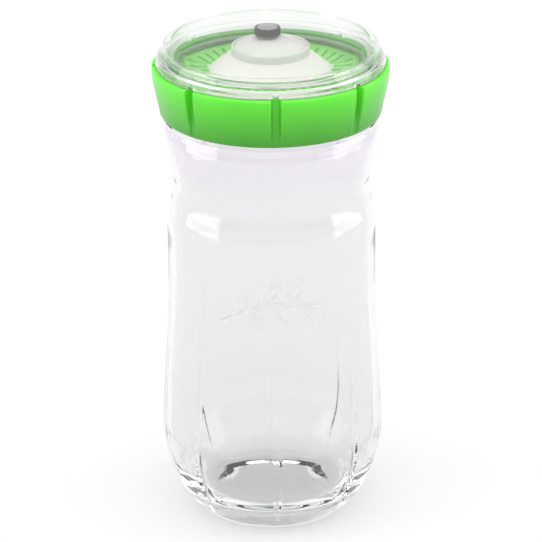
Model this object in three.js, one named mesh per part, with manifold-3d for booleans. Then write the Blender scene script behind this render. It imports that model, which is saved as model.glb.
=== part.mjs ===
// A wide-mouth fermenting jar: fluted glass, screw ring, strainer, domed insert, knob and clear cover.
// Millimetres, +Z up. The origin is the centre of the ring that the jar stands on.
import * as THREE from 'three';
import { mergeVertices } from 'three/addons/utils/BufferGeometryUtils.js';
import Module from 'manifold-3d';

const wasm = await Module();
wasm.setup();

// ---------------------------------------------------------------- driving dimensions

const GAP = 0.3;                    // clearance between neighbours that touch
const PAST = 1;                     // how far a cutter reaches past what it cuts
const FLUTE_COUNT = 8;
const FLUTE_TURN = THREE.MathUtils.degToRad(2.5);

const jar = {
  baseInner: 28.5,                  // inner edge of the standing ring
  baseOuter: 33.5,                  // outer edge of the standing ring
  punt: 2.6,                        // height of the hollow under the base
  cornerTop: 40,                    // where the rounded bottom corner ends
  cornerPower: 1.55,
  bodyRadius: 53.4,
  beadRadius: 51.7,
  bead: 198,
  neckRadius: 46.2,
  mouthRadius: 42.8,
  mouth: 217.3,
  fluteTop: 112,
  fluteTail: 0.3,                   // depth of a flute where it dies out up the side
  fluteDepth: 1,                    // depth of a flute round the bottom corner
  // (radius, height) points that the outside's curve passes through, from the corner up to the bead
  side: [
    [53.4, 40], [53.3, 47], [52.3, 69], [51, 90], [50.3, 111], [49.9, 132], [49.9, 146], [49.7, 151.5],
    [49.2, 155.7], [47.9, 160.2], [46.9, 165], [46.7, 169.5], [47.1, 173.5], [48.9, 180], [49.9, 186],
    [50.4, 192], [50.6, 195.5],
  ],
  // the same for the inside: the corner round the wide flat floor, and the wall up to the mouth
  innerCorner: [[33, 8.5], [36.2, 8.8], [39, 10.6], [42.6, 16.2], [46, 24.9], [48.6, 34.5], [49.9, 45]],
  innerSide: [
    [49.9, 45], [48.9, 69], [47, 98], [46.4, 132], [46.4, 150], [45.2, 157], [43.6, 164], [43.2, 169.5],
    [44, 175], [45.5, 182], [46.3, 192], [45.6, 198], [43.4, 203], [42.8, 207],
  ],
};

const thread = {
  pitch: 6,
  span: THREE.MathUtils.degToRad(300),
  fade: THREE.MathUtils.degToRad(18),
  start: 209,                       // height of the jar ridge's lower end
  jarCrest: 47.9,
  ringCrest: 46.8,
  rootWidth: 2.6,
  crestWidth: 1.2,
};

const ring = {
  bottom: 203.3,
  top: 227,
  bottomRadius: 52.4,
  topRadius: 55.9,
  flare: [[52.4, 204.3], [53.4, 209], [54.8, 215], [55.9, 222.5]],
  grooveFloor: 52,
  bore: 48.5,
  throat: 48,
  webTop: 220.9,
  webThickness: 1.8,
  webInner: 44,
};

const deck = {
  flangeRadius: 47.7,
  flangeInner: 43.2,
  hubOuter: 31.6,
  hubInner: 28,
  hubTop: 218.6,
  hubBottom: 216.9,
  thickness: 1.4,
  slots: 48,
  slotWidth: 1.5,
  slotInner: 33,
  slotOuter: 42,
};

// The silicone rings: inner and outer radius, and the last one's two heights.
const seals = {
  mouth: [43, 47.6],
  dome: [28.4, 30.8],
  cap: [14.4, 16.6],
  screw: [2.3, 5],
  coverBottom: 224.2,
  coverTop: 225.8,
};

const dome = {
  rimRadius: 31.2,
  rim: 220.2,
  collarRadius: 18.3,
  collarInner: 17.2,
  collarBottom: 231.2,
  collarTop: 235.1,
  webTop: 232,
  webThickness: 1.6,
  webRadius: 14.5,                  // where the hollow under the web meets the skirt
  skirtBend: [27.6, 227.2],         // the point that the skirt's outside bends towards
  hollowBend: [26, 226],            // the same for its inside
  rimWidth: 3,
};

const cap = {
  flangeRadius: 16.9,
  flangeBottom: 233.6,
  flangeThickness: 1,
  apex: 239.2,
  crown: [[15.4, 234.6], [14.6, 235.4], [9.5, 237.7], [4.5, 238.9], [0, 239.2]],
  hollow: [[0, 237.5], [4.5, 237.2], [9, 236.1], [13.4, 233.6]],
};

const knob = {
  offset: -1.35,                    // the knob's axis lies this far along X from the jar's axis
  radius: 6.05,
  ribs: 24,
  ribDepth: 0.3,
  bottom: 239.9,
  top: 243.5,
  plateRadius: 4.7,
  plateThickness: 0.5,
  insertRoom: 0.7,                  // the plastic left between the insert's socket and the plate
  insertRadius: 3.2,
  washerRadius: 4.6,
  boreRadius: 2.3,
};

const screw = {
  radius: 2,
  headRadius: 4,
  headBottom: 226.6,
  headThickness: 2.2,
  top: 242.2,
};

const cover = {
  rimRadius: 54.2,
  rim: 227.3,
  shoulderRadius: 48.8,
  shoulder: 237.6,
  apex: 247,
  wall: 1.8,
  plugOuter: 46.5,
  plugInner: 45,
  plugBottom: 223.2,
  ledge: 232.1,                     // where the wall's inner face meets the ledge that carries the plug
  innerRadius: 46.2,                // where the crown's underside turns down into the wall
  // (radius, height) points down the wall's inner face, and up its outer one
  innerWall: [[48.7, 235.1], [49.9, 233.5], [50.4, 232.1]],
  outerWall: [[54.2, 228.9], [53.2, 231.5], [51.5, 234.6], [50.3, 236.4]],
  notchWidth: 3,
  notchDepth: 0.9,
  notchHeight: 1.8,
};

// ---------------------------------------------------------------- helpers

const point = (radius, height) => new THREE.Vector2(radius, height);

// Weld shared corners and drop the empty triangles that a profile leaves where it meets the axis.
function weld(geometry) {
  const bare = geometry.clone();
  bare.deleteAttribute('normal');
  bare.deleteAttribute('uv');
  const welded = mergeVertices(bare, 1e-4);
  const kept = [];
  for (let i = 0; i < welded.index.count; i += 3) {
    const [a, b, c] = [0, 1, 2].map((corner) => welded.index.getX(i + corner));
    if (a !== b && b !== c && c !== a) {
      kept.push(a, b, c);
    }
  }
  welded.setIndex(kept);
  return welded;
}

function toSolid(geometry) {
  const welded = weld(geometry);
  return new wasm.Manifold(new wasm.Mesh({
    numProp: 3,
    vertProperties: new Float32Array(welded.attributes.position.array),
    triVerts: new Uint32Array(welded.index.array),
  }));
}

function toGeometry(solid) {
  const mesh = solid.getMesh();
  const geometry = new THREE.BufferGeometry();
  geometry.setAttribute('position', new THREE.BufferAttribute(mesh.vertProperties, 3));
  geometry.setIndex(new THREE.BufferAttribute(mesh.triVerts, 1));
  return geometry;
}

// Turn a profile of (radius, height) points about the Z axis. It starts and ends on the axis, or is a
// closed loop, and runs anticlockwise seen with the radius to the right and the height up.
function revolve(profile, columns) {
  const geometry = new THREE.LatheGeometry(profile, columns);
  geometry.rotateX(Math.PI / 2);
  return geometry;
}

const loop = (points) => [...points, points[0].clone()];

// A smooth curve through (radius, height) pairs.
const through = (pairs) => new THREE.SplineCurve(pairs.map(([radius, height]) => point(radius, height)));

// A ring of rectangular section.
function washer(inner, outer, bottom, top, columns) {
  return revolve(loop([
    point(inner, bottom),
    point(outer, bottom),
    point(outer, top),
    point(inner, top),
  ]), columns);
}

// A solid cylinder between two heights.
function rod(radius, bottom, top, columns) {
  return revolve([point(0, bottom), point(radius, bottom), point(radius, top), point(0, top)], columns);
}

// Move the columns of a turned body so that they crowd round the flutes, then sink the flutes.
// depthAt gives a flute's depth at a radius and height.
function flute(geometry, depthAt) {
  const crowding = 0.88;
  const floorAngle = THREE.MathUtils.degToRad(0.9);
  const edgeAngle = THREE.MathUtils.degToRad(2.9);
  const sector = 2 * Math.PI / FLUTE_COUNT;
  const position = geometry.attributes.position;
  for (let i = 0; i < position.count; i += 1) {
    const [x, y, z] = [position.getX(i), position.getY(i), position.getZ(i)];
    const turn = Math.atan2(x, -y) / sector;
    const index = Math.round(turn);
    const part = turn - index;
    const angle = (part - crowding * Math.sin(2 * Math.PI * part) / (2 * Math.PI)) * sector;
    const slope = (edgeAngle - Math.abs(angle)) / (edgeAngle - floorAngle);
    const share = THREE.MathUtils.clamp(slope, 0, 1);
    const radius = Math.hypot(x, y);
    const sunk = radius - share * depthAt(radius, z);
    const place = index * sector + angle + FLUTE_TURN;
    position.setXYZ(i, sunk * Math.sin(place), -sunk * Math.cos(place), z);
  }
  return geometry;
}

// Four rows of a turned wall, all at its root radius, that raiseThread lifts into a ridge.
const threadRows = (root) => [-1.5, -0.5, 0.5, 1.5].map((row) => point(root, thread.start + row));

// Lift the four rows after firstRow into one helical ridge, wide at the root and narrow at the crest, which
// fades into the wall at both ends. It climbs anticlockwise seen from above, as a right-hand thread does,
// and past its end the flat rows come back down to where they started.
function raiseThread(geometry, rowCount, firstRow, root, crest, start) {
  const halfWidths = [-thread.rootWidth, -thread.crestWidth, thread.crestWidth, thread.rootWidth];
  const full = 2 * Math.PI;
  const position = geometry.attributes.position;
  for (let i = 0; i < position.count; i += 1) {
    const row = (i % rowCount) - firstRow;
    if (row >= 0 && row < halfWidths.length) {
      const around = (Math.atan2(position.getY(i), position.getX(i)) + full) % full;
      const inRidge = around <= thread.span;
      const climb = inRidge ? around : thread.span * (full - around) / (full - thread.span);
      const nearEnd = Math.min(around, thread.span - around);
      const grown = inRidge ? Math.min(1, nearEnd / thread.fade) : 0;
      const onCrest = row === 1 || row === 2;
      const radius = onCrest ? THREE.MathUtils.lerp(root, crest, grown) : root;
      const height = start + thread.pitch * climb / full + halfWidths[row] / 2;
      position.setXYZ(i, radius * Math.cos(around), radius * Math.sin(around), height);
    }
  }
  return geometry;
}

// ---------------------------------------------------------------- materials

const glassLook = { color: 0xeef1f2, roughness: 0.03, metalness: 0, transparent: true, opacity: 0.35 };
const greenLook = { color: 0x4fc63a, roughness: 0.35, metalness: 0 };
const whiteLook = { color: 0xf7f7f2, roughness: 0.4, metalness: 0 };
const darkLook = { color: 0x3c3f3e, roughness: 0.55, metalness: 0 };
const siliconeLook = { color: 0xdfe3e2, roughness: 0.6, metalness: 0 };
const steelLook = { color: 0xb9bcbe, roughness: 0.3, metalness: 1 };
const brassLook = { color: 0xb59a52, roughness: 0.35, metalness: 1 };

const model = new THREE.Group();

function addPiece(name, geometry, look, x = 0) {
  const mesh = new THREE.Mesh(geometry, new THREE.MeshStandardMaterial(look));
  mesh.name = name;
  mesh.position.x = x;
  model.add(mesh);
}

// ---------------------------------------------------------------- glass jar

// A corner between a flat base and an upright wall, as a quarter of a superellipse.
function roundedCorner(innerRadius, outerRadius, bottom, top, steps, power) {
  return Array.from({ length: steps + 1 }, (_, i) => {
    const angle = (i / steps) * Math.PI / 2;
    return point(
      innerRadius + (outerRadius - innerRadius) * Math.sin(angle) ** (2 / power),
      top - (top - bottom) * Math.cos(angle) ** (2 / power),
    );
  });
}

function jarOuterProfile() {
  return [
    point(0, jar.punt),
    point(20, jar.punt * 0.8),
    point(jar.baseInner, 0),
    ...roundedCorner(jar.baseOuter, jar.bodyRadius, 0, jar.cornerTop, 5, jar.cornerPower),
    ...through(jar.side).getPoints(20).slice(1),
    point(jar.beadRadius, jar.bead - 1),
    point(jar.beadRadius, jar.bead + 1),
    point(jar.beadRadius - 1.1, jar.bead + 2.4),
    point(jar.neckRadius + 1, jar.bead + 3.8),
    point(jar.neckRadius, jar.bead + 5.5),
    ...threadRows(jar.neckRadius),
    point(jar.neckRadius, jar.mouth - 0.6),
    point(jar.neckRadius - 0.8, jar.mouth),
    point(0, jar.mouth),
  ];
}

// The floor is wide and flat, and the wall keeps about the same distance from the outside.
function jarInnerProfile() {
  const edge = 0.9;
  return [
    point(0, jar.innerCorner[0][1]),
    ...through(jar.innerCorner).getPoints(9),
    ...through(jar.innerSide).getPoints(20).slice(1),
    point(jar.mouthRadius, jar.mouth - edge),
    point(jar.mouthRadius + edge, jar.mouth),
    point(jar.mouthRadius + edge, jar.mouth + PAST),
    point(0, jar.mouth + PAST),
  ];
}

// The flutes run from under the base, deepest round the bottom corner, and die out up the side.
function jarFluteDepth(radius, height) {
  const outside = THREE.MathUtils.smoothstep(radius, jar.baseOuter, jar.baseOuter + 6);
  const fade = THREE.MathUtils.smoothstep(height, jar.cornerTop, jar.fluteTop);
  const depth = THREE.MathUtils.lerp(jar.fluteDepth, jar.fluteTail, fade);
  return height < jar.fluteTop ? outside * depth : 0;
}

function makeGlassJar() {
  const profile = jarOuterProfile();
  const firstRow = profile.length - 7;
  const turned = flute(revolve(profile, 80), jarFluteDepth);
  raiseThread(turned, profile.length, firstRow, jar.neckRadius, thread.jarCrest, thread.start);
  return toGeometry(toSolid(turned).subtract(toSolid(revolve(jarInnerProfile(), 40))));
}

addPiece('glass_jar', makeGlassJar(), glassLook);

// ---------------------------------------------------------------- gasket, ring and strainer

const webBottom = ring.webTop - ring.webThickness;

addPiece('mouth_gasket', washer(...seals.mouth, jar.mouth + GAP, webBottom - GAP, 40), siliconeLook);

function ringOuterProfile() {
  return [
    point(0, ring.bottom),
    point(ring.bottomRadius - 0.5, ring.bottom),
    ...through(ring.flare).getPoints(4),
    point(ring.topRadius, ring.top - 1),
    point(ring.topRadius - 0.9, ring.top),
    point(0, ring.top),
  ];
}

// Each grip groove is cut back to one upright floor, so it is deep at the flared top and shallow below.
function ringGrooveDepth(radius, height) {
  const flareTop = ring.flare.at(-1)[1];
  const share = (height - ring.bottom) / (flareTop - ring.bottom);
  const skin = THREE.MathUtils.lerp(ring.bottomRadius, ring.topRadius, share);
  return radius > ring.bottomRadius - 1 ? Math.min(skin, ring.topRadius) - ring.grooveFloor : 0;
}

function makeLidRing() {
  const outside = toSolid(flute(revolve(ringOuterProfile(), 80), ringGrooveDepth));
  const boreProfile = [
    point(0, ring.bottom - PAST),
    point(ring.bore, ring.bottom - PAST),
    ...threadRows(ring.bore),
    point(ring.bore, webBottom),
    point(0, webBottom),
  ];
  const below = revolve(boreProfile, 40);
  raiseThread(below, boreProfile.length, 2, ring.bore, thread.ringCrest, thread.start - thread.pitch / 2);
  const middle = rod(ring.webInner, webBottom - PAST, ring.webTop + PAST, 40);
  const above = rod(ring.throat, ring.webTop, ring.top + PAST, 40);
  return toGeometry([below, middle, above]
    .map(toSolid)
    .reduce((rest, cutter) => rest.subtract(cutter), outside));
}

addPiece('lid_ring', makeLidRing(), greenLook);

function makeStrainer() {
  const flangeBottom = ring.webTop + GAP;
  const flangeTop = flangeBottom + deck.thickness;
  const body = toSolid(revolve(loop([
    point(deck.hubInner, deck.hubBottom),
    point(deck.hubOuter, deck.hubBottom),
    point(deck.flangeInner, flangeBottom),
    point(deck.flangeRadius, flangeBottom),
    point(deck.flangeRadius, flangeTop),
    point(deck.flangeInner, flangeTop),
    point(deck.hubOuter, deck.hubTop),
    point(deck.hubInner, deck.hubTop),
  ]), 48));
  const length = deck.slotOuter - deck.slotInner;
  const slots = Array.from({ length: deck.slots }, (_, i) => {
    const cutter = new THREE.BoxGeometry(length, deck.slotWidth, 12);
    cutter.translate((deck.slotInner + deck.slotOuter) / 2, 0, deck.hubTop);
    cutter.rotateZ(((i + 0.5) / deck.slots) * 2 * Math.PI);
    return toSolid(cutter);
  });
  return toGeometry(slots.reduce((rest, cutter) => rest.subtract(cutter), body));
}

addPiece('strainer', makeStrainer(), greenLook);

// ---------------------------------------------------------------- domed insert

addPiece('dome_seal', washer(...seals.dome, deck.hubTop + GAP, dome.rim - GAP, 32), siliconeLook);

const screwHole = () => {
  const hole = rod(knob.boreRadius, dome.rim, cap.apex + PAST, 16);
  hole.translate(knob.offset, 0, 0);
  return toSolid(hole);
};

function makeDomeBase() {
  const outerSkirt = new THREE.QuadraticBezierCurve(
    point(dome.rimRadius, dome.rim + 1),
    point(...dome.skirtBend),
    point(dome.collarRadius, dome.collarBottom),
  );
  const innerSkirt = new THREE.QuadraticBezierCurve(
    point(dome.webRadius, dome.webTop - dome.webThickness),
    point(...dome.hollowBend),
    point(dome.rimRadius - dome.rimWidth, dome.rim),
  );
  const body = toSolid(revolve([
    point(0, dome.webTop - dome.webThickness),
    ...innerSkirt.getPoints(5),
    point(dome.rimRadius, dome.rim),
    ...outerSkirt.getPoints(6),
    point(dome.collarRadius, dome.collarTop - 0.4),
    point(dome.collarRadius - 0.4, dome.collarTop),
    point(dome.collarInner, dome.collarTop),
    point(dome.collarInner, dome.webTop),
    point(0, dome.webTop),
  ], 32));
  return toGeometry(body.subtract(screwHole()));
}

addPiece('dome_base', makeDomeBase(), whiteLook);
addPiece('cap_seal', washer(...seals.cap, dome.webTop + GAP, cap.flangeBottom - GAP, 32), siliconeLook);

function makeDomeCap() {
  const body = toSolid(revolve([
    ...through(cap.hollow).getPoints(5),
    point(cap.flangeRadius, cap.flangeBottom),
    point(cap.flangeRadius, cap.flangeBottom + cap.flangeThickness),
    ...through(cap.crown).getPoints(6),
  ], 28));
  return toGeometry(body.subtract(screwHole()));
}

addPiece('dome_cap', makeDomeCap(), whiteLook);

// ---------------------------------------------------------------- knob and its screw

const headTop = screw.headBottom + screw.headThickness;

function makeScrew() {
  const head = toSolid(new THREE.CylinderGeometry(screw.headRadius, screw.headRadius, screw.headThickness, 6)
    .rotateX(Math.PI / 2)
    .translate(0, 0, screw.headBottom + screw.headThickness / 2));
  return toGeometry(head.add(toSolid(rod(screw.radius, screw.headBottom + 1, screw.top, 16))));
}

addPiece('clamp_screw', makeScrew(), steelLook, knob.offset);
addPiece(
  'screw_seal',
  washer(...seals.screw, headTop + GAP, dome.webTop - dome.webThickness - GAP, 20),
  siliconeLook,
  knob.offset,
);
addPiece(
  'knob_washer',
  washer(knob.boreRadius, knob.washerRadius, cap.apex + 0.1, knob.bottom - 0.2, 20),
  steelLook,
  knob.offset,
);

function makeKnob() {
  const recess = knob.top - knob.plateThickness;
  const geometry = revolve([
    point(0, knob.bottom),
    point(knob.radius - 0.5, knob.bottom),
    point(knob.radius, knob.bottom + 0.5),
    point(knob.radius, knob.top - 0.6),
    point(knob.radius - 0.7, knob.top),
    point(0, knob.top),
  ], knob.ribs * 2);
  const position = geometry.attributes.position;
  for (let i = 0; i < position.count; i += 1) {
    const [x, y] = [position.getX(i), position.getY(i)];
    const inRib = Math.cos(Math.atan2(x, -y) * knob.ribs) > 0 ? 1 : 1 - knob.ribDepth / knob.radius;
    const atSide = Math.hypot(x, y) > knob.radius - 0.1;
    position.setX(i, atSide ? x * inRib : x);
    position.setY(i, atSide ? y * inRib : y);
  }
  const socket = toSolid(rod(knob.insertRadius + GAP, knob.bottom - PAST, recess - knob.insertRoom, 20));
  const inlay = toSolid(rod(knob.plateRadius + GAP, recess, knob.top + PAST, 24));
  return toGeometry(toSolid(geometry).subtract(socket).subtract(inlay));
}

addPiece('thumb_knob', makeKnob(), darkLook, knob.offset);

function makeInsert() {
  const top = knob.top - knob.plateThickness - knob.insertRoom - GAP;
  return washer(knob.boreRadius, knob.insertRadius, knob.bottom, top, 20);
}

addPiece('knob_insert', makeInsert(), brassLook, knob.offset);

// The plate is dished, so its middle catches the light.
function makePlate() {
  const bottom = knob.top - knob.plateThickness + GAP;
  const top = knob.top + 0.1;
  const dish = 0.15;
  const dishRadius = 1;
  return revolve([
    point(0, bottom),
    point(knob.plateRadius, bottom),
    point(knob.plateRadius, top),
    point(dishRadius + GAP, top),
    point(dishRadius, top - dish),
    point(0, top - dish),
  ], 24);
}

addPiece('knob_plate', makePlate(), steelLook, knob.offset);

// ---------------------------------------------------------------- clear cover

// A shallow spherical crown that meets the shoulder: points from the rim of the crown to its apex.
function crownPoints(edgeRadius, edgeHeight, apex, steps) {
  const rise = apex - edgeHeight;
  const sphere = (edgeRadius ** 2 + rise ** 2) / (2 * rise);
  return Array.from({ length: steps + 1 }, (_, i) => {
    const radius = edgeRadius * (1 - i / steps);
    return point(radius, apex - sphere + Math.sqrt(sphere ** 2 - radius ** 2));
  });
}

function makeCover() {
  const underside = crownPoints(cover.innerRadius, cover.shoulder - 1, cover.apex - cover.wall, 4).reverse();
  const body = toSolid(revolve([
    ...underside,
    ...cover.innerWall.map(([radius, height]) => point(radius, height)),
    point(cover.plugInner + 0.9, cover.ledge + 0.8),
    point(cover.plugInner, cover.ledge + 0.1),
    point(cover.plugInner, cover.plugBottom),
    point(cover.plugOuter, cover.plugBottom),
    point(cover.plugOuter, cover.ledge - 1.2),
    point(50.4, cover.ledge - 1.9),
    point(51.6, cover.ledge - 2.9),
    point(cover.rimRadius - 2, cover.rim),
    point(cover.rimRadius, cover.rim),
    ...cover.outerWall.map(([radius, height]) => point(radius, height)),
    ...crownPoints(cover.shoulderRadius, cover.shoulder, cover.apex, 6),
  ], 48));
  const notches = Array.from({ length: FLUTE_COUNT }, (_, i) => {
    const cutter = new THREE.BoxGeometry(cover.notchWidth, 2 * cover.notchDepth, 2 * cover.notchHeight);
    cutter.translate(0, -cover.rimRadius, cover.rim);
    cutter.rotateZ(FLUTE_TURN + (i / FLUTE_COUNT) * 2 * Math.PI);
    return toSolid(cutter);
  });
  return toGeometry(notches.reduce((rest, cutter) => rest.subtract(cutter), body));
}

addPiece('clear_cover', makeCover(), glassLook);
addPiece(
  'cover_seal',
  washer(cover.plugOuter + GAP, ring.throat - GAP, seals.coverBottom, seals.coverTop, 40),
  siliconeLook,
);

export default model;
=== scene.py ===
"""The looks of a fluted glass fermenting jar: screw ring, strainer, domed insert, knob and clear cover."""

import math

import bpy
import numpy as np
from mathutils import Matrix, Vector


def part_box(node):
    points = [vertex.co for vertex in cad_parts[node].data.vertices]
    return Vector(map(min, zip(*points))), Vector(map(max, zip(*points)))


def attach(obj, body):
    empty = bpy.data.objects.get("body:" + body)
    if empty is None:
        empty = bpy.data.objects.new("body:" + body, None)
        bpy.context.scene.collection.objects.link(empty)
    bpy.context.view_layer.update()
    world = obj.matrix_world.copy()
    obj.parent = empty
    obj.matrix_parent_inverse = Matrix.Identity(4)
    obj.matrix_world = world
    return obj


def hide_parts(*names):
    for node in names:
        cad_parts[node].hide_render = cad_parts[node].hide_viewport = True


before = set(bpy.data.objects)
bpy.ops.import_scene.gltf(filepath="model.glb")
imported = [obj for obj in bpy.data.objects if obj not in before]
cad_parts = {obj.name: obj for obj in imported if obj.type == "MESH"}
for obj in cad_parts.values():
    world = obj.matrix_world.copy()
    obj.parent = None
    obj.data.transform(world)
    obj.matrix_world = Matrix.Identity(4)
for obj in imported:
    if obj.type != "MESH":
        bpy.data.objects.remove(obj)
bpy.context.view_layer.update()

MM = 0.001
FULL_TURN = 2 * math.pi
BORE = 2.3                            # radius of the hole for the clamp screw
BORE_SLIDE_END = 9.0                  # radius at which a hole's slide off the axis has faded out
FLUTES = 8
SECTOR = FULL_TURN / FLUTES
FLUTE_TURN = math.radians(2.5)        # the first flute's angle off the front
FLUTE_HALF = math.radians(3.2)        # half of the angle that a flute's columns take


# ------------------------------------------------------------------ reading the frame

class Span:
    """The room that a CAD node takes, in millimetres: bottom, top, middle in X and radius about it."""

    def __init__(self, node):
        low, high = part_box(node)
        self.bottom = low.z / MM
        self.top = high.z / MM
        self.middle = (low.x + high.x) / 2 / MM
        self.radius = (high.x - low.x) / 2 / MM


JAR = Span("glass_jar")
RING = Span("lid_ring")
GASKET = Span("mouth_gasket")
DECK = Span("strainer")
DOME_SEAL = Span("dome_seal")
DOME = Span("dome_base")
CAP_SEAL = Span("cap_seal")
CAP = Span("dome_cap")
SCREW = Span("clamp_screw")
SCREW_SEAL = Span("screw_seal")
WASHER = Span("knob_washer")
KNOB = Span("thumb_knob")
INSERT = Span("knob_insert")
PLATE = Span("knob_plate")
COVER = Span("clear_cover")
COVER_SEAL = Span("cover_seal")


# ------------------------------------------------------------------ outlines

def smooth(low, high, value):
    """0 below low, 1 above high, and an S-curve between."""
    share = np.clip((value - low) / (high - low), 0.0, 1.0)
    return share * share * (3 - 2 * share)


def curve(points, step=1.0):
    """Points about step apart on a smooth curve through the given ones."""
    knots = np.array(points, float)
    padded = np.vstack([2 * knots[0] - knots[1], knots, 2 * knots[-1] - knots[-2]])
    out = [knots[0]]
    for i in range(len(knots) - 1):
        a, b, c, d = padded[i:i + 4]
        gaps = [max(np.linalg.norm(q - p), 1e-6) ** 0.5 for p, q in ((a, b), (b, c), (c, d))]
        t0, t1, t2, t3 = np.cumsum([0.0] + gaps)
        count = max(2, int(math.ceil(np.linalg.norm(c - b) / step)))
        for t in np.linspace(t1, t2, count + 1)[1:]:
            ab = (t1 - t) / (t1 - t0) * a + (t - t0) / (t1 - t0) * b
            bc = (t2 - t) / (t2 - t1) * b + (t - t1) / (t2 - t1) * c
            cd = (t3 - t) / (t3 - t2) * c + (t - t2) / (t3 - t2) * d
            abc = (t2 - t) / (t2 - t0) * ab + (t - t0) / (t2 - t0) * bc
            bcd = (t3 - t) / (t3 - t1) * bc + (t - t1) / (t3 - t1) * cd
            out.append((t2 - t) / (t2 - t1) * abc + (t - t1) / (t2 - t1) * bcd)
    return [tuple(p) for p in out]


def quarter(inner, outer, bottom, top, power, count):
    """A quarter of a superellipse from (inner, bottom) up to (outer, top)."""
    angles = np.linspace(0, math.pi / 2, count + 1)
    radii = inner + (outer - inner) * np.sin(angles) ** (2 / power)
    heights = top - (top - bottom) * np.cos(angles) ** (2 / power)
    return list(zip(radii, heights))


def fillet(points, closed=True, count=4):
    """The outline with each corner (radius, height, rounding) turned into an arc of that rounding."""
    out = []
    total = len(points)
    for i, corner in enumerate(points):
        here = np.array(corner[:2], float)
        rounding = corner[2] if len(corner) > 2 else 0.0
        if rounding <= 0 or (not closed and i in (0, total - 1)):
            out.append(tuple(here))
            continue
        before = np.array(points[i - 1][:2], float) - here
        after = np.array(points[(i + 1) % total][:2], float) - here
        length_before, length_after = np.linalg.norm(before), np.linalg.norm(after)
        before, after = before / length_before, after / length_after
        half = math.acos(float(np.clip(before @ after, -1, 1))) / 2
        reach = min(rounding / math.tan(half), 0.49 * length_before, 0.49 * length_after)
        start, end = here + before * reach, here + after * reach
        for t in np.linspace(0, 1, count + 1):
            out.append(tuple((1 - t) ** 2 * start + 2 * t * (1 - t) * here + t * t * end))
    return out


def wrapped(angle):
    """The angle from -pi up to pi, so that the front is 0 from both sides."""
    return (angle + math.pi) % FULL_TURN - math.pi


def from_flute(angle):
    """How far an angle is from the nearest flute's centre."""
    return np.abs((angle - FLUTE_TURN + SECTOR / 2) % SECTOR - SECTOR / 2)


def even_angles(count):
    return np.linspace(0, FULL_TURN, count, endpoint=False)


def flute_angles(steps, fan_reach=0.0, fan_step=0.0):
    """Column angles that stand at the given degrees either side of each flute. Within fan_reach degrees of
    the front, columns fan_step degrees apart take the place of those between flutes."""
    offsets = {round(math.radians(s), 9) for s in steps}
    offsets |= {-v for v in offsets}
    angles = {round(i * SECTOR + v + FLUTE_TURN, 9) for i in range(FLUTES) for v in offsets}
    if fan_reach:
        reach, step = math.radians(fan_reach), math.radians(fan_step)
        near = {a for a in angles if abs(wrapped(a)) < reach + step}
        kept = {a for a in near if from_flute(a) < FLUTE_HALF}
        angles = (angles - near) | kept
        fan = np.arange(-reach, reach + step / 2, step)
        angles |= {round(a, 9) for a in fan if min(abs(a - k) for k in kept) > step / 2}
    ordered = np.array(sorted(a % FULL_TURN for a in angles))
    gaps = np.diff(ordered, append=ordered[0] + FULL_TURN)
    return ordered[gaps > 1e-5]


# ------------------------------------------------------------------ meshes

def make_object(name, vertices, faces):
    mesh = bpy.data.meshes.new(name)
    mesh.from_pydata([tuple(v) for v in vertices], [], faces)
    mesh.validate()
    mesh.update()
    mesh.shade_smooth()
    made = bpy.data.objects.new(name, mesh)
    bpy.context.scene.collection.objects.link(made)
    return made


def turned(name, outline, angles, shape=None, middle=0.0, bore_at=None):
    """A closed body turned about an upright axis. The outline is in millimetres, runs anticlockwise with the
    radius to the right and the height up, and either starts and ends on the axis or closes on itself. Angle 0
    faces -Y. shape(angle, radius, height, index) gives the new radius and height of each point. bore_at
    slides a hole drawn on the axis over to that X, and the slide fades out away from the hole."""
    rows = np.array(outline, float)
    on_axis = rows[0, 0] < 1e-6 and rows[-1, 0] < 1e-6
    body = rows[1:-1] if on_axis else rows
    count, columns = len(body), len(angles)
    around = np.repeat(np.asarray(angles)[:, None], count, axis=1)
    radius = np.repeat(body[None, :, 0], columns, axis=0)
    height = np.repeat(body[None, :, 1], columns, axis=0)
    if shape:
        index = np.repeat(np.arange(count)[None, :], columns, axis=0)
        radius, height = shape(around, radius, height, index)
    x = middle + radius * np.sin(around)
    if bore_at is not None:
        x = x + bore_at * (1 - smooth(BORE + 0.3, BORE_SLIDE_END, radius))
    y = -radius * np.cos(around)
    vertices = list(np.stack([x, y, height], -1).reshape(-1, 3) * MM)
    faces = []
    last = count - 1 if on_axis else count
    for column in range(columns):
        here, there = column * count, ((column + 1) % columns) * count
        for row in range(last):
            up = (row + 1) % count
            faces.append((here + row, there + row, there + up, here + up))
    if on_axis:
        poles = len(vertices), len(vertices) + 1
        vertices += [np.array([middle, 0, rows[0, 1]]) * MM, np.array([middle, 0, rows[-1, 1]]) * MM]
        for column in range(columns):
            here, there = column * count, ((column + 1) % columns) * count
            faces.append((poles[0], there, here))
            faces.append((poles[1], here + count - 1, there + count - 1))
    return make_object(name, vertices, faces)


def place(piece, material, body, slot, *nodes):
    """Give a piece its material and let it stand for its CAD node on that node's body."""
    piece.data.materials.clear()
    piece.data.materials.append(material)
    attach(piece, body)
    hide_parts(*nodes)


# ------------------------------------------------------------------ materials

def fill_ramp(ramp, stops):
    """Give a colour ramp its stops, each (position, (red, green, blue))."""
    while len(ramp.elements) < len(stops):
        ramp.elements.new(0.5)
    for element, (position, colour) in zip(ramp.elements, stops):
        element.position = position
        element.color = (*colour, 1)


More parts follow.
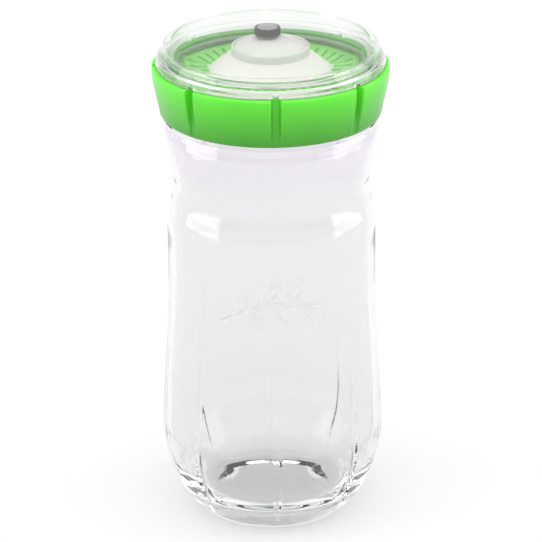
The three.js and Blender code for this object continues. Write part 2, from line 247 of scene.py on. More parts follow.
class Nodes:
    """A small helper that adds and links shader nodes of one material."""

    def __init__(self, name):
        self.material = bpy.data.materials.new(name)
        self.material.use_nodes = True
        self.tree = self.material.node_tree
        self.shader = self.tree.nodes["Principled BSDF"]

    def add(self, kind, **values):
        node = self.tree.nodes.new(kind)
        for key, value in values.items():
            if key in node.inputs:
                node.inputs[key].default_value = value
            else:
                setattr(node, key, value)
        return node

    def link(self, source, target):
        self.tree.links.new(source, target)

    def set(self, **values):
        """Set shader sockets; Specular_IOR_Level stands for the socket "Specular IOR Level"."""
        for key, value in values.items():
            self.shader.inputs[key.replace("_", " ")].default_value = value

    def height(self):
        """Height above the jar's foot, in metres."""
        split = self.add("ShaderNodeSeparateXYZ")
        self.link(self.add("ShaderNodeTexCoord").outputs["Object"], split.inputs["Vector"])
        return split.outputs["Z"]

    def noise(self, scale, detail=2.0, roughness=0.5, stretch=(1, 1, 1)):
        """Noise in the object's own space, in cells per metre."""
        place_in = self.add("ShaderNodeTexCoord")
        mapping = self.add("ShaderNodeMapping", Scale=stretch)
        noise = self.add("ShaderNodeTexNoise", Scale=scale, Detail=detail, Roughness=roughness)
        self.link(place_in.outputs["Object"], mapping.inputs["Vector"])
        self.link(mapping.outputs["Vector"], noise.inputs["Vector"])
        return noise.outputs["Fac"]

    def ramp(self, source, stops):
        node = self.add("ShaderNodeValToRGB")
        fill_ramp(node.color_ramp, stops)
        self.link(source, node.inputs["Fac"])
        return node.outputs["Color"]

    def spread(self, source, low, high, to_low, to_high):
        """The source's low..high mapped to to_low..to_high and held at the ends."""
        node = self.add("ShaderNodeMapRange")
        for key, value in (("From Min", low), ("From Max", high), ("To Min", to_low), ("To Max", to_high)):
            node.inputs[key].default_value = value
        self.link(source, node.inputs["Value"])
        return node.outputs["Result"]

    def bump(self, source, strength, distance):
        node = self.add("ShaderNodeBump", Strength=strength, Distance=distance)
        self.link(source, node.inputs["Height"])
        self.link(node.outputs["Normal"], self.shader.inputs["Normal"])


TINT_HEIGHT = 0.25                    # metres up to which a clear body's tint stops run


def clear_material(name, ior, stops, bump_strength):
    """A clear body: nearly colourless, with a faint tint that changes with height and slow ripples."""
    nodes = Nodes(name)
    nodes.set(Roughness=0.0, IOR=ior, Transmission_Weight=1.0)
    share = nodes.spread(nodes.height(), 0.0, TINT_HEIGHT, 0.0, 1.0)
    nodes.link(nodes.ramp(share, stops), nodes.shader.inputs["Base Color"])
    nodes.bump(nodes.noise(30, 1.0, 0.4, (1, 1, 0.45)), bump_strength, 0.001)
    return nodes.material


def plastic_material(name, dark, light, roughness, grain=900, bump=0.12, glow=0.0, glow_reach=(1, 1, 1),
                     painted_shade=None):
    """A moulded plastic: slow colour drift, fine mould grain and small changes of gloss. glow is the share of
    light that scatters inside. deeper=(bottom, top, share) is painted shade: it darkens the colour to that
    share at the lower of two heights in metres, standing in for the weaker light low on the part."""
    nodes = Nodes(name)
    nodes.set(IOR=1.49, Subsurface_Weight=glow, Subsurface_Radius=glow_reach, Subsurface_Scale=0.004)
    colour = nodes.ramp(nodes.noise(35, 3.0), [(0.3, dark), (0.7, light)])
    # painted shade: the colour is darkened towards the lower height, where less light falls
    if painted_shade:
        bottom, top, share = painted_shade
        scaled = nodes.add("ShaderNodeVectorMath", operation="SCALE")
        nodes.link(colour, scaled.inputs[0])
        nodes.link(nodes.spread(nodes.height(), bottom, top, share, 1.0), scaled.inputs["Scale"])
        colour = scaled.outputs["Vector"]
    nodes.link(colour, nodes.shader.inputs["Base Color"])
    gloss = nodes.spread(nodes.noise(120, 3.0), 0.3, 0.7, roughness - 0.03, roughness + 0.04)
    nodes.link(gloss, nodes.shader.inputs["Roughness"])
    nodes.bump(nodes.noise(grain, 2.0), bump, 0.0001)
    return nodes.material


def metal_material(name, dark, light, roughness):
    """A turned metal: fine rings round its axis in gloss and bump."""
    nodes = Nodes(name)
    nodes.set(Metallic=1.0)
    wave = nodes.add("ShaderNodeTexWave", wave_type="RINGS", rings_direction="Z", Scale=900.0,
                     Distortion=0.6, Detail=1.0)
    nodes.link(nodes.add("ShaderNodeTexCoord").outputs["Object"], wave.inputs["Vector"])
    colour = nodes.ramp(wave.outputs["Fac"], [(0.0, dark), (1.0, light)])
    nodes.link(colour, nodes.shader.inputs["Base Color"])
    gloss = nodes.spread(nodes.noise(300, 2.0), 0.3, 0.7, roughness - 0.04, roughness + 0.06)
    nodes.link(gloss, nodes.shader.inputs["Roughness"])
    nodes.bump(wave.outputs["Fac"], 0.15, 0.00005)
    return nodes.material


FOOT_TINT = (0.9, 0.902, 0.901)
CLEAR = (0.885, 0.887, 0.886)
LAVENDER = (0.885, 0.858, 0.905)
PURE = (0.995, 1.0, 0.995)
GLASS = clear_material("clear_glass", 1.5, [
    (0.0, FOOT_TINT), (0.2, CLEAR), (0.62, CLEAR), (0.76, LAVENDER), (1.0, LAVENDER),
], 0.02)
ACRYLIC = clear_material("clear_acrylic", 1.47, [(0.0, PURE), (1.0, PURE)], 0.01)
# The ring's green is darkened towards its foot: painted shade for the weaker light on its lower front.
GREEN = plastic_material(
    "green_plastic", (0.085, 0.62, 0.02), (0.11, 0.68, 0.03), 0.3, bump=0.02, glow=0.35,
    glow_reach=(0.4, 1.0, 0.2), painted_shade=(RING.bottom * MM, RING.top * MM, 0.4),
)
PALE_GREEN = plastic_material(
    "pale_green_plastic", (0.24, 0.8, 0.13), (0.28, 0.84, 0.16), 0.35, bump=0.02, glow=0.4,
    glow_reach=(0.5, 1.0, 0.3),
)
WHITE = plastic_material("white_plastic", (0.77, 0.78, 0.71), (0.81, 0.82, 0.76), 0.38, bump=0.04, glow=0.4)
DARK = plastic_material("dark_plastic", (0.028, 0.03, 0.029), (0.05, 0.053, 0.05), 0.5, grain=2500, bump=0.3)
SILICONE = plastic_material("silicone", (0.72, 0.75, 0.74), (0.82, 0.84, 0.83), 0.55)
STEEL = metal_material("steel", (0.45, 0.46, 0.46), (0.66, 0.66, 0.67), 0.3)
BRASS = metal_material("brass", (0.5, 0.34, 0.1), (0.68, 0.5, 0.2), 0.28)


# ------------------------------------------------------------------ threads

THREAD_PITCH = 6.0
THREAD_SPAN = math.radians(300)
THREAD_FADE = math.radians(18)        # how far a ridge takes to reach its full height at each end
THREAD_HEIGHT = 1.7
THREAD_FLANK = (0.6, 1.3)             # half the ridge's width at its crest and at its root
JAR_THREAD_START = 209.0
RING_THREAD_START = JAR_THREAD_START - THREAD_PITCH / 2


def thread_share(angle, height, start):
    """The share of a helical ridge's full height at an angle and height: 0 clear of it, 1 on its crest."""
    around = (angle - math.pi / 2) % FULL_TURN
    middle = start + THREAD_PITCH * around / FULL_TURN
    flank = 1 - smooth(*THREAD_FLANK, np.abs(height - middle))
    ends = np.clip(np.minimum(around, THREAD_SPAN - around) / THREAD_FADE, 0, 1)
    return flank * np.where(around < THREAD_SPAN, ends, 0.0)


# ------------------------------------------------------------------ glass jar

EMBLEM_MIDDLE = 119.5                 # height of the sprig's middle
EMBLEM_REACH = 16                     # how far the sprig's rows run above and below its middle
EMBLEM_ROW = 0.55                     # height of one of those rows
EMBLEM_RELIEF = 1.5
EMBLEM_LINE = (0.35, 1.3)             # half the width of a raised line at its top and at its root
LEAVES = (                            # share of the stem, side, length
    (0.14, 1, 11), (0.26, -1, 11), (0.4, 1, 13), (0.52, -1, 12), (0.66, 1, 12), (0.78, -1, 10),
)
NECK_RADIUS = 46.2
MOUTH_RADIUS = 42.8
BEAD_FOOT = (50.6, 195)               # where the bead under the neck starts
HEEL_FOOT = 33.3                      # outer radius of the ring that the jar stands on
HEEL_TOP = 40
FLOOR_TOP = 10.5                      # height of the glass floor inside
CORNER_TOP = (49.9, 45)               # where the floor's corner meets the inner wall
FLUTE_SIDES = (0.2, 2.7)              # degrees from a flute's middle to the foot and the top of its side
FLUTE_HEEL = (40, 51)                 # radii between which the flutes fade in across the heel
FLUTE_DEEP = (18, 75, 0.7)            # heights between which the deep part fades out, and its depth
FLUTE_FINE = (96, 116, 0.16)          # the same for the fine part, which runs on above the deep one


def emblem_strokes():
    """A plain sprig in the flat: a long leaning stem, and pairs of pointed leaves along it. (x, z) in mm."""
    steps = np.linspace(0, 1, 60)
    stem = np.stack([-24 + 48 * steps, -5 + 7 * np.sin(steps * math.pi) + 6 * steps], -1)
    strokes = [stem]
    for share, side, length in LEAVES:
        at = stem[int(share * (len(stem) - 1))]
        lean = math.radians(52 * side)
        along = np.array([math.cos(lean), math.sin(lean)])
        across = np.array([-along[1], along[0]])
        turn = np.linspace(0, FULL_TURN, 40)
        reach = length * (1 - np.cos(turn)) / 2
        swell = 0.24 * length * np.sin(turn) * np.sin(turn / 2) ** 0.5
        strokes.append(at + reach[:, None] * along + swell[:, None] * across)
    return strokes


def emblem_height(x, z):
    """The sprig's relief at a place on the front of the glass."""
    height = np.zeros_like(x)
    for stroke in emblem_strokes():
        nearest = np.full(x.shape, 99.0)
        for a, b in zip(stroke[:-1], stroke[1:]):
            run = b - a
            share = np.clip(((x - a[0]) * run[0] + (z - a[1]) * run[1]) / max(run @ run, 1e-9), 0, 1)
            nearest = np.minimum(nearest, np.hypot(x - a[0] - share * run[0], z - a[1] - share * run[1]))
        height = np.maximum(height, 1 - smooth(*EMBLEM_LINE, nearest))
    return EMBLEM_RELIEF * height


def jar_outside():
    """From the middle of the base up over the lip."""
    foot = fillet([(0, 2.6), (20, 2.3, 6), (28.5, 0, 1.2), (HEEL_FOOT, 0)], closed=False)
    heel = quarter(HEEL_FOOT, JAR.radius, 0, HEEL_TOP, 1.55, 34)
    body = curve([
        (JAR.radius, HEEL_TOP), (53.35, 47), (52.3, 69), (51.0, 90), (50.3, 111), (49.9, 132), (49.9, 146),
        (49.75, 151.5), (49.2, 155.7), (47.9, 160.2), (46.9, 165), (46.65, 169.5), (47.1, 173.5),
        (48.9, 180), (49.9, 186), (50.4, 192), BEAD_FOOT,
    ], 1.5)
    bead = fillet([
        BEAD_FOOT, (51.1, 198.2, 3), (50.3, 200.4, 1.5), (47.2, 202, 1.2), (NECK_RADIUS, 203.5, 0.8),
        (NECK_RADIUS, 204.5),
    ], closed=False)
    neck = [(NECK_RADIUS, z) for z in np.arange(205, JAR.top - 1.5, 0.5)]
    lip = fillet([
        (NECK_RADIUS, JAR.top - 1.4), (NECK_RADIUS, JAR.top, 1.2), (MOUTH_RADIUS, JAR.top, 1.2),
        (MOUTH_RADIUS, JAR.top - 2),
    ], closed=False, count=6)
    return foot + heel[1:] + body[1:] + bead[1:] + neck + lip


def jar_inside():
    """From the mouth down to the middle of the floor."""
    corner = quarter(30, CORNER_TOP[0], FLOOR_TOP, CORNER_TOP[1], 2.0, 40)
    body = curve([
        CORNER_TOP, (48.9, 69), (47.0, 98), (46.4, 132), (46.4, 150), (45.2, 157), (43.6, 164), (43.2, 169.5),
        (44.0, 175), (45.5, 182), (46.3, 192), (45.6, 198), (43.4, 203), (MOUTH_RADIUS, 207),
        (MOUTH_RADIUS, 214),
    ], 2.5)
    return list(reversed([(0, FLOOR_TOP), (15, FLOOR_TOP), (27, FLOOR_TOP)] + corner + body[1:]))


def jar_outline():
    """The jar's outline, with close rows where the sprig stands, and how many of its points are outside."""
    outer = jar_outside()
    band = np.arange(-EMBLEM_REACH, EMBLEM_REACH + 0.1, EMBLEM_ROW) + EMBLEM_MIDDLE
    clear = 0.3
    split = max(i for i, p in enumerate(outer) if p[1] < band[0] - clear)
    above = [p for p in outer[split + 1:] if p[1] > band[-1] + clear]
    near = outer[split - 20:split + 40]
    radii = np.interp(band, [p[1] for p in near], [p[0] for p in near])
    outer = outer[:split + 1] + list(zip(radii, band)) + above
    return outer + jar_inside(), len(outer) - 1


def make_jar():
    outline, outer_count = jar_outline()
    steps = (0, 0.35, 0.7, 1.0, 1.3, 1.6, 1.9, 2.2, 2.5, 2.9, 3.5, 4.5, 6, 8, 10.5, 13, 15.5, 18, 20.5, 22.5)

    def flute_part(height, fade_from, fade_to, depth):
        return depth * (1 - smooth(fade_from, fade_to, height))

    def shape(angle, radius, height, index):
        outside = index < outer_count
        groove = 1 - smooth(*np.radians(FLUTE_SIDES), from_flute(angle))
        depth = flute_part(height, *FLUTE_FINE) + flute_part(height, *FLUTE_DEEP)
        flute = groove * smooth(*FLUTE_HEEL, radius) * depth * outside
        on_neck = outside & (np.abs(radius - NECK_RADIUS) < 0.01)
        thread = np.where(on_neck, thread_share(angle, height, JAR_THREAD_START), 0)
        above_middle = height - EMBLEM_MIDDLE
        front = outside & (np.abs(above_middle) < EMBLEM_REACH) & (np.cos(angle) > 0.8)
        relief = np.zeros_like(radius)
        relief[front] = emblem_height((wrapped(angle) * radius)[front], above_middle[front])
        return radius - flute + THREAD_HEIGHT * thread + relief, height

    return turned("glass_jar_body", outline, flute_angles(steps, fan_reach=33, fan_step=0.6), shape)


place(make_jar(), GLASS, "jar", "glass", "glass_jar")


# ------------------------------------------------------------------ gasket, ring and strainer

def seal_ring(name, span, inner, rounding=0.35, columns=160):
    """A ring of soft rectangular section."""
    outline = fillet([
        (inner, span.bottom, rounding), (span.radius, span.bottom, rounding),
        (span.radius, span.top, rounding), (inner, span.top, rounding),
    ])
    return turned(name, outline, even_angles(columns), middle=span.middle)


place(seal_ring("mouth_gasket_ring", GASKET, 43.0), SILICONE, "gasket", "silicone", "mouth_gasket")

GROOVE_SIDES = (1.55, 2.75)           # the same for the ring's grip grooves as FLUTE_SIDES for the flutes
GROOVE_FLOOR = 52.0
RING_MOUTH = 48.0                     # radius of the ring's opening above its web
RING_BORE = 48.5                      # radius of its bore below the web
RING_WEB_INNER = 44.0
RING_WEB_TOP = 220.9
RING_WEB_BOTTOM = 219.1


def make_ring():
    flare = curve([
        (52.4, RING.bottom + 0.9), (53.3, 209), (54.6, 215), (55.55, 220.5), (RING.radius, 224.5),
    ], 1.2)
    top = fillet([
        flare[-1], (RING.radius, RING.top, 1.1), (RING_MOUTH, RING.top, 0.5),
        (RING_MOUTH, RING_WEB_TOP + 0.1),
    ], closed=False, count=6)
    web = fillet([
        (RING_MOUTH, RING_WEB_TOP, 0), (RING_WEB_INNER, RING_WEB_TOP, 0.4),
        (RING_WEB_INNER, RING_WEB_BOTTOM, 0.4), (RING_BORE, RING_WEB_BOTTOM, 0.3),
    ])
    row = 0.6
    bore = [(RING_BORE, z) for z in np.arange(RING_WEB_BOTTOM - row, RING.bottom + row, -row)]
    edge = [(RING_BORE, RING.bottom + 0.3), (RING_BORE + 0.3, RING.bottom)]
    outline = [(51.9, RING.bottom)] + flare + top[1:-1] + web + bore + edge
    steps = (0, 0.7, 1.3, 1.6, 1.8, 2.0, 2.2, 2.4, 2.6, 2.8, 3.4, 4.5, 7, 10, 13, 16, 19.5, 22.5)

    def shape(angle, radius, height, index):
        groove = 1 - smooth(*np.radians(GROOVE_SIDES), from_flute(angle))
        grooved = radius + (np.minimum(radius, GROOVE_FLOOR) - radius) * groove
        in_bore = np.abs(radius - RING_BORE) < 0.01
        thread = np.where(in_bore, thread_share(angle, height, RING_THREAD_START), 0)
        return np.where(radius > RING_BORE + 1, grooved, radius - THREAD_HEIGHT * thread), height

    return turned("screw_ring", outline, flute_angles(steps), shape)


place(make_ring(), GREEN, "lid", "green_plastic", "lid_ring")

SLOTS = 48
SLOT_HALF = 0.75
SLOT_INNER, SLOT_OUTER = 33.0, 42.0   # radii of a slot's two ends
CONE_INNER, CONE_OUTER = 31.6, 43.2   # radii between which the deck slopes
DECK_RADII = (28.0, 28.3, 31.4, 31.9, SLOT_INNER, 35.2, 37.5, 39.8, SLOT_OUTER, 42.8, 43.6, 47.3, DECK.radius)
COLUMNS_PER_SLOT = 4                  # the slot's two sides, and two columns along the middle of the bar
UNDER, OVER = 0, 1                    # the deck's two faces


def deck_point(column, row, side):
    """A corner of the deck's grid, in metres."""
    radius = DECK_RADII[row]
    cell, part = divmod(column, COLUMNS_PER_SLOT)
    step = FULL_TURN / SLOTS
    half = SLOT_HALF / max(min(radius, SLOT_OUTER), SLOT_INNER)
    angle = (cell + 0.5) * step + (-half, half, step / 2 - 0.25 * half, step / 2 + 0.25 * half)[part]
    slope = min(max((radius - CONE_INNER) / (CONE_OUTER - CONE_INNER), 0), 1)
    edge = 0.25 if row in (0, len(DECK_RADII) - 1) else 0.0
    if side == OVER:
        hub = DECK.bottom + 1.7
        height = hub + (DECK.top - hub) * slope - edge
    else:
        height = DECK.bottom + (RING_WEB_TOP + 0.3 - DECK.bottom) * slope + edge
    return np.array([radius * math.sin(angle), -radius * math.cos(angle), height]) * MM


def slotted_deck():
    """The strainer as a solid grid: each cell between two columns is either a slot or a bar."""
    columns, rows = COLUMNS_PER_SLOT * SLOTS, len(DECK_RADII)
    vertices, faces, lookup = [], [], {}

    def corner(column, row, side):
        key = (column % columns, row, side)
        if key not in lookup:
            lookup[key] = len(vertices)
            vertices.append(deck_point(*key))
        return lookup[key]

    def add_face(flipped, *corners):
        face = [corner(*c) for c in corners]
        faces.append(tuple(reversed(face) if flipped else face))

    first, last = DECK_RADII.index(SLOT_INNER), DECK_RADII.index(SLOT_OUTER)
    for column in range(columns):
        after = column + 1
        is_slot = column % COLUMNS_PER_SLOT == 0
        for row in range(rows - 1):
            if is_slot and first <= row < last:
                continue
            up = row + 1
            add_face(False, (column, row, OVER), (column, up, OVER), (after, up, OVER), (after, row, OVER))
            add_face(False, (after, row, UNDER), (after, up, UNDER), (column, up, UNDER), (column, row, UNDER))
        for row in (0, rows - 1):
            add_face(row == 0, (column, row, OVER), (column, row, UNDER), (after, row, UNDER),
                     (after, row, OVER))
        if not is_slot:
            continue
        for row in range(first, last):
            for side in (column, after):
                add_face(side == column, (side, row, OVER), (side, row + 1, OVER), (side, row + 1, UNDER),
                         (side, row, UNDER))
        for row in (first, last):
            add_face(row == first, (column, row, OVER), (after, row, OVER), (after, row, UNDER),
                     (column, row, UNDER))
    made = make_object("strainer_deck", vertices, faces)
    soften = made.modifiers.new("edges", "BEVEL")
    soften.width = 0.22 * MM
    soften.segments = 2
    soften.limit_method = "ANGLE"
    soften.angle_limit = math.radians(40)
    return made


place(slotted_deck(), PALE_GREEN, "lid", "green_plastic", "strainer")


# ------------------------------------------------------------------ domed insert

place(seal_ring("dome_seal_ring", DOME_SEAL, 28.4, 0.3), SILICONE, "dome", "silicone", "dome_seal")
place(seal_ring("cap_seal_ring", CAP_SEAL, 14.4, 0.3), SILICONE, "dome", "silicone", "cap_seal")

COLLAR_RADIUS = 18.3
COLLAR_INNER = 17.2
DOME_WEB_TOP = 232.0                  # height of the floor inside the collar


def make_dome_base():
    web_bottom = DOME_WEB_TOP - 1.6
    skirt = curve([
        (DOME.radius, DOME.bottom + 1), (29.8, 222.4), (25.9, 226.0), (21.5, 229.3),
        (COLLAR_RADIUS + 0.5, 230.9),
    ])
    collar = fillet([
        skirt[-1], (COLLAR_RADIUS, 231.2, 0.5), (COLLAR_RADIUS, DOME.top, 0.45),
        (COLLAR_INNER, DOME.top, 0.45), (COLLAR_INNER, DOME_WEB_TOP, 0.3), (9, DOME_WEB_TOP),
        (5, DOME_WEB_TOP), (BORE, DOME_WEB_TOP, 0.2),
        (BORE, web_bottom, 0.2), (5, web_bottom), (9, web_bottom), (14.5, web_bottom),
    ], closed=False)
    under = curve([(14.5, web_bottom), (20.5, 227.6), (25.0, 223.9), (28.1, DOME.bottom + 0.3)], 1.2)
    rim = [(28.4, DOME.bottom), (DOME.radius - 0.4, DOME.bottom), (DOME.radius, DOME.bottom + 0.4)]
    return turned("dome_skirt", skirt + collar[1:] + under[1:] + rim, even_angles(160), bore_at=SCREW.middle)


place(make_dome_base(), WHITE, "dome", "white_plastic", "dome_base")


def make_dome_cap():
    crown_top = curve([
        (15.5, CAP.bottom + 1.2), (15.0, 235.1), (13.2, 236.3), (9.5, 237.7), (4.5, CAP.top - 0.25),
        (BORE, CAP.top),
    ], 0.8)
    under = curve([(BORE, CAP.top - 1.8), (4.5, CAP.top - 2.0), (9.0, 236.1), (13.4, CAP.bottom)])
    flange = fillet([
        (13.4, CAP.bottom, 0), (CAP.radius, CAP.bottom, 0.3), (CAP.radius, CAP.bottom + 1, 0.4),
        (15.8, CAP.bottom + 1, 0.3),
    ])
    return turned("dome_crown", under[:-1] + flange + crown_top, even_angles(128), bore_at=SCREW.middle)


place(make_dome_cap(), WHITE, "dome", "white_plastic", "dome_cap")
place(seal_ring("screw_seal_ring", SCREW_SEAL, BORE, 0.3, 64), SILICONE, "dome", "silicone", "screw_seal")
place(seal_ring("washer_ring", WASHER, BORE, 0.12, 64), STEEL, "washer", "steel", "knob_washer")


# ------------------------------------------------------------------ knob and screw

HEAD_THICKNESS = 2.2
HEAD_RADIUS = 4.0
SHANK_RADIUS = 2.0
SCREW_PITCH = 0.7
SCREW_GROOVE = 0.12                   # half the depth of the screw's thread
SCREW_ROW = 0.12                      # height of one row along the shank


def make_screw():
    """A screw with a hexagonal head underneath and a fine thread on its shank."""
    head_top = SCREW.bottom + HEAD_THICKNESS
    outline = [(0, SCREW.bottom)] + fillet([
        (HEAD_RADIUS, SCREW.bottom, 0.3), (HEAD_RADIUS, head_top, 0.3), (SHANK_RADIUS, head_top, 0.15),
        (SHANK_RADIUS, SCREW.top, 0.35), (0.2, SCREW.top, 0),
    ], count=3) + [(0, SCREW.top)]
    shank = [(SHANK_RADIUS, z) for z in np.arange(head_top + 0.5, SCREW.top - 0.5, SCREW_ROW)]
    split = 1 + max(i for i, p in enumerate(outline) if p[1] < head_top + 0.3 and p[0] > SHANK_RADIUS - 0.01)
    outline = outline[:split] + shank + outline[split:]
    sixth = math.pi / 6

    def shape(angle, radius, height, index):
        flat = math.cos(sixth) / np.cos((angle + sixth) % (2 * sixth) - sixth)
        in_head = (height < head_top + 0.01) & (radius > SHANK_RADIUS + 0.5)
        threaded = (height > head_top + 2) & (radius > SHANK_RADIUS - 0.05)
        turn = FULL_TURN * (height - head_top) / SCREW_PITCH - angle
        cut = SCREW_GROOVE * (np.cos(turn) - 1) * threaded
        return np.where(in_head, radius * flat, radius + cut), height

    return turned("hex_screw", outline, even_angles(48), shape, SCREW.middle)


place(make_screw(), STEEL, "dome", "steel", "clamp_screw")

KNOB_RIBS = 36
KNOB_BORE = 3.5                       # radius of the pocket for the brass insert
RIB_HEIGHT = 0.11                     # how far a rib stands out from the knob's mean side, and a groove in
RIB_COLUMNS = (-0.21, -0.12, 0.12, 0.21, 0.29, 0.38, 0.62, 0.71)    # in shares of one rib's width


def make_knob():
    inlay = PLATE.radius + 0.3
    recess = KNOB.top - 0.5
    side_radius = KNOB.radius - 0.1
    outline = fillet([
        (KNOB_BORE, KNOB.bottom, 0.1), (side_radius, KNOB.bottom, 0.5), (side_radius, KNOB.top, 0.45),
        (inlay, KNOB.top, 0.15), (inlay, recess, 0.05), (0.3, recess, 0), (0.3, recess - 0.7, 0),
        (KNOB_BORE, recess - 0.7, 0),
    ], count=3)

    def shape(angle, radius, height, index):
        side = smooth(KNOB.radius - 0.9, KNOB.radius - 0.3, radius)
        above_foot = smooth(KNOB.bottom + 0.15, KNOB.bottom + 0.5, height)
        below_top = 1 - smooth(KNOB.top - 0.5, KNOB.top - 0.1, height)
        rib = np.where(np.cos(angle * KNOB_RIBS) > 0, 1.0, -1.0)
        return radius + RIB_HEIGHT * side * above_foot * below_top * rib, height

    ribs = np.arange(KNOB_RIBS)[:, None] + np.array(RIB_COLUMNS)
    angles = np.sort(ribs.reshape(-1) * FULL_TURN / KNOB_RIBS % FULL_TURN)
    return turned("knurled_knob", outline, angles, shape, KNOB.middle)


def make_plate():
    """A disc with a small dimple in its middle."""
    dimple = PLATE.top - 0.16
    outline = [(0, PLATE.bottom)] + fillet([
        (PLATE.radius, PLATE.bottom, 0.05), (PLATE.radius, PLATE.top, 0.12), (1.5, PLATE.top, 0.15),
        (1.0, dimple + 0.02, 0.1), (0.3, dimple, 0),
    ], count=3) + [(0, dimple)]
    return turned("knob_disc", outline, even_angles(96), middle=PLATE.middle)


place(make_knob(), DARK, "knob", "dark_plastic", "thumb_knob")
place(make_plate(), STEEL, "knob", "steel", "knob_plate")
place(seal_ring("insert_ring", INSERT, BORE, 0.15, 64), BRASS, "knob", "brass", "knob_insert")


# ------------------------------------------------------------------ clear cover

PLUG_INNER = 45.0
PLUG_OUTER = 46.5
COVER_WALL = 1.8
LEDGE = 232.1                         # where the wall's inner face meets the ledge that carries the plug
LEDGE_RADIUS = 50.4
CROWN_RADIUS = 48.8                   # where the crown's outer face meets the shoulder
NOTCH_SIDES = (1.35, 1.6)             # degrees from a rim notch's middle to the foot and the top of its side
NOTCH_RISE = 1.0


def crown(edge_radius, edge_height, apex, count):
    """A shallow spherical crown from its edge up to the axis."""
    rise = apex - edge_height
    sphere = (edge_radius ** 2 + rise ** 2) / (2 * rise)
    radii = edge_radius * (1 - np.linspace(0, 1, count))
    return list(zip(radii, apex - sphere + np.sqrt(sphere ** 2 - radii ** 2)))


def make_cover():
    rim = RING.top + 0.3
    shoulder = COVER.top - 9.4
    inside = list(reversed(crown(46.2, shoulder - 1.0, COVER.top - COVER_WALL, 24)))
    skirt = fillet([
        inside[-1], (48.7, shoulder - 2.5, 2.5), (49.9, LEDGE + 1.4, 1.2), (LEDGE_RADIUS, LEDGE, 0.15),
        (PLUG_INNER + 0.9, LEDGE + 0.8, 0.5), (PLUG_INNER, LEDGE, 0.5), (PLUG_INNER, COVER.bottom, 0.5),
        (PLUG_OUTER, COVER.bottom, 0.5), (PLUG_OUTER, LEDGE - 1.2, 0.6), (LEDGE_RADIUS, LEDGE - 1.9, 0.6),
        (51.6, LEDGE - 2.9, 0.6), (COVER.radius - 2, rim, 0.4), (COVER.radius, rim, 0.5),
        (COVER.radius, 228.9, 1.0), (53.2, 231.5, 2.0), (51.5, 234.6, 2.0), (50.3, 236.4, 0.8),
        (CROWN_RADIUS, shoulder),
    ], closed=False, count=5)
    outline = inside + skirt[1:] + crown(CROWN_RADIUS, shoulder, COVER.top, 26)[1:]
    notch_top = rim + 1.9

    def shape(angle, radius, height, index):
        notch = 1 - smooth(*np.radians(NOTCH_SIDES), from_flute(angle))
        lifted = height + NOTCH_RISE * notch * (1 - smooth(rim + 0.1, notch_top, height))
        return radius, np.where((height < notch_top) & (radius > 51), lifted, height)

    steps = (0, 0.7, 1.2, 1.35, 1.45, 1.6, 1.9, 2.6, 4, 6, 8, 10.5, 13, 15.5, 18, 20.3, 22.5)
    return turned("domed_cover", outline, flute_angles(steps), shape)


place(make_cover(), ACRYLIC, "cover", "clear_plastic", "clear_cover")
place(seal_ring("cover_seal_ring", COVER_SEAL, 46.8, 0.35), SILICONE, "seal", "silicone", "cover_seal")


# ------------------------------------------------------------------ floor, light and camera

FLOOR_SIZE = 12.0
FLOOR_GLOW = 0.52                     # the paper's own light, which keeps the jar's shadow faint


def make_floor():
    """White paper that takes little of the studio's light and gives most of its own."""
    bpy.ops.mesh.primitive_plane_add(size=FLOOR_SIZE, location=(0, 0, -0.0002))
    floor = bpy.context.object
    floor.name = "floor"
    nodes = Nodes("floor_paper")
    nodes.set(Roughness=0.9, Specular_IOR_Level=0.1)
    nodes.set(Emission_Color=(1, 1, 1, 1), Emission_Strength=FLOOR_GLOW)
    paper = nodes.ramp(nodes.noise(3, 2.0), [(0.3, (0.3, 0.3, 0.3)), (0.7, (0.32, 0.32, 0.32))])
    nodes.link(paper, nodes.shader.inputs["Base Color"])
    floor.data.materials.append(nodes.material)


SOFTBOX_POWER = 7
SOFTBOX_HEIGHT = 0.62


def softbox(name, x, y, aim_y, size):
    """An upright soft light beside the jar, aimed level at (0, aim_y)."""
    light = bpy.data.lights.new(name, "AREA")
    light.shape = "RECTANGLE"
    light.size, light.size_y = size
    light.energy = SOFTBOX_POWER
    made = bpy.data.objects.new(name, light)
    made.location = (x, y, SOFTBOX_HEIGHT)
    made.rotation_euler = Vector((-x, aim_y - y, 0)).to_track_quat("-Z", "Y").to_euler()
    bpy.context.scene.collection.objects.link(made)


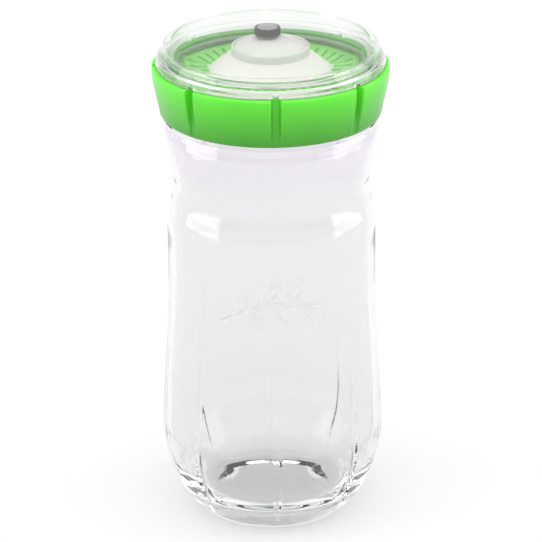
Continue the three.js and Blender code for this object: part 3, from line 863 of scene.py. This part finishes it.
# The studio's brightness by level. A direction's level is its height plus 0.3 of its lean to the camera's
# side, so each band of light tilts. Level 1 is overhead. The dim band, level 0.08 to 0.2, is 21 to 28 degrees
# above the horizon at the back and just below it at the front. All below level 0 has the first brightness.
SKY = [(0.0, 1.0), (0.08, 0.6), (0.2, 0.55), (0.35, 0.75), (0.6, 1.35), (1.0, 2.2)]
SKY_SCALE = 2.3                       # the ramp holds shares of this brightness, since it stops at 1
SKY_TILT = (0, -0.3, 1)


def make_world():
    """A white studio in tilted bands: brightest overhead, dimmest in one low band, and white below that."""
    world = bpy.data.worlds.new("studio")
    world.use_nodes = True
    bpy.context.scene.world = world
    tree = world.node_tree
    back = tree.nodes["Background"]
    back.inputs["Color"].default_value = (1, 1, 1, 1)
    place_in = tree.nodes.new("ShaderNodeTexCoord")
    level = tree.nodes.new("ShaderNodeVectorMath")
    level.operation = "DOT_PRODUCT"
    level.inputs[1].default_value = SKY_TILT
    shade = tree.nodes.new("ShaderNodeValToRGB")
    fill_ramp(shade.color_ramp, [(where, (bright / SKY_SCALE,) * 3) for where, bright in SKY])
    strength = tree.nodes.new("ShaderNodeMath")
    strength.operation = "MULTIPLY"
    strength.inputs[1].default_value = SKY_SCALE
    tree.links.new(place_in.outputs["Generated"], level.inputs[0])
    tree.links.new(level.outputs["Value"], shade.inputs["Fac"])
    tree.links.new(shade.outputs["Color"], strength.inputs[0])
    tree.links.new(strength.outputs["Value"], back.inputs["Strength"])


CAMERA_AT = (-0.0004, -1.400, 0.7008)
CAMERA_PITCH = 0.3926                 # radians below level
CAMERA_ROLL = -0.0062
CAMERA_LENS = 208.86


def make_camera():
    camera = bpy.data.cameras.new("camera")
    camera.lens = CAMERA_LENS
    camera.sensor_width = 36
    made = bpy.data.objects.new("camera", camera)
    made.matrix_world = (Matrix.Translation(CAMERA_AT)
                         @ Matrix.Rotation(math.pi / 2 - CAMERA_PITCH, 4, "X")
                         @ Matrix.Rotation(CAMERA_ROLL, 4, "Z"))
    bpy.context.scene.collection.objects.link(made)
    bpy.context.scene.camera = made


BOUNCES = 24                          # enough for light to pass all the walls of the cover and the jar

make_floor()
make_world()
softbox("left_box", -1.15, -0.16, -0.05, (0.96, 1.16))
softbox("right_box", 1.15, 0.05, 0.0, (0.9, 1.16))
make_camera()
bpy.context.scene.view_settings.view_transform = "Standard"
cycles = bpy.context.scene.cycles
cycles.max_bounces = cycles.transmission_bounces = cycles.glossy_bounces = BOUNCES
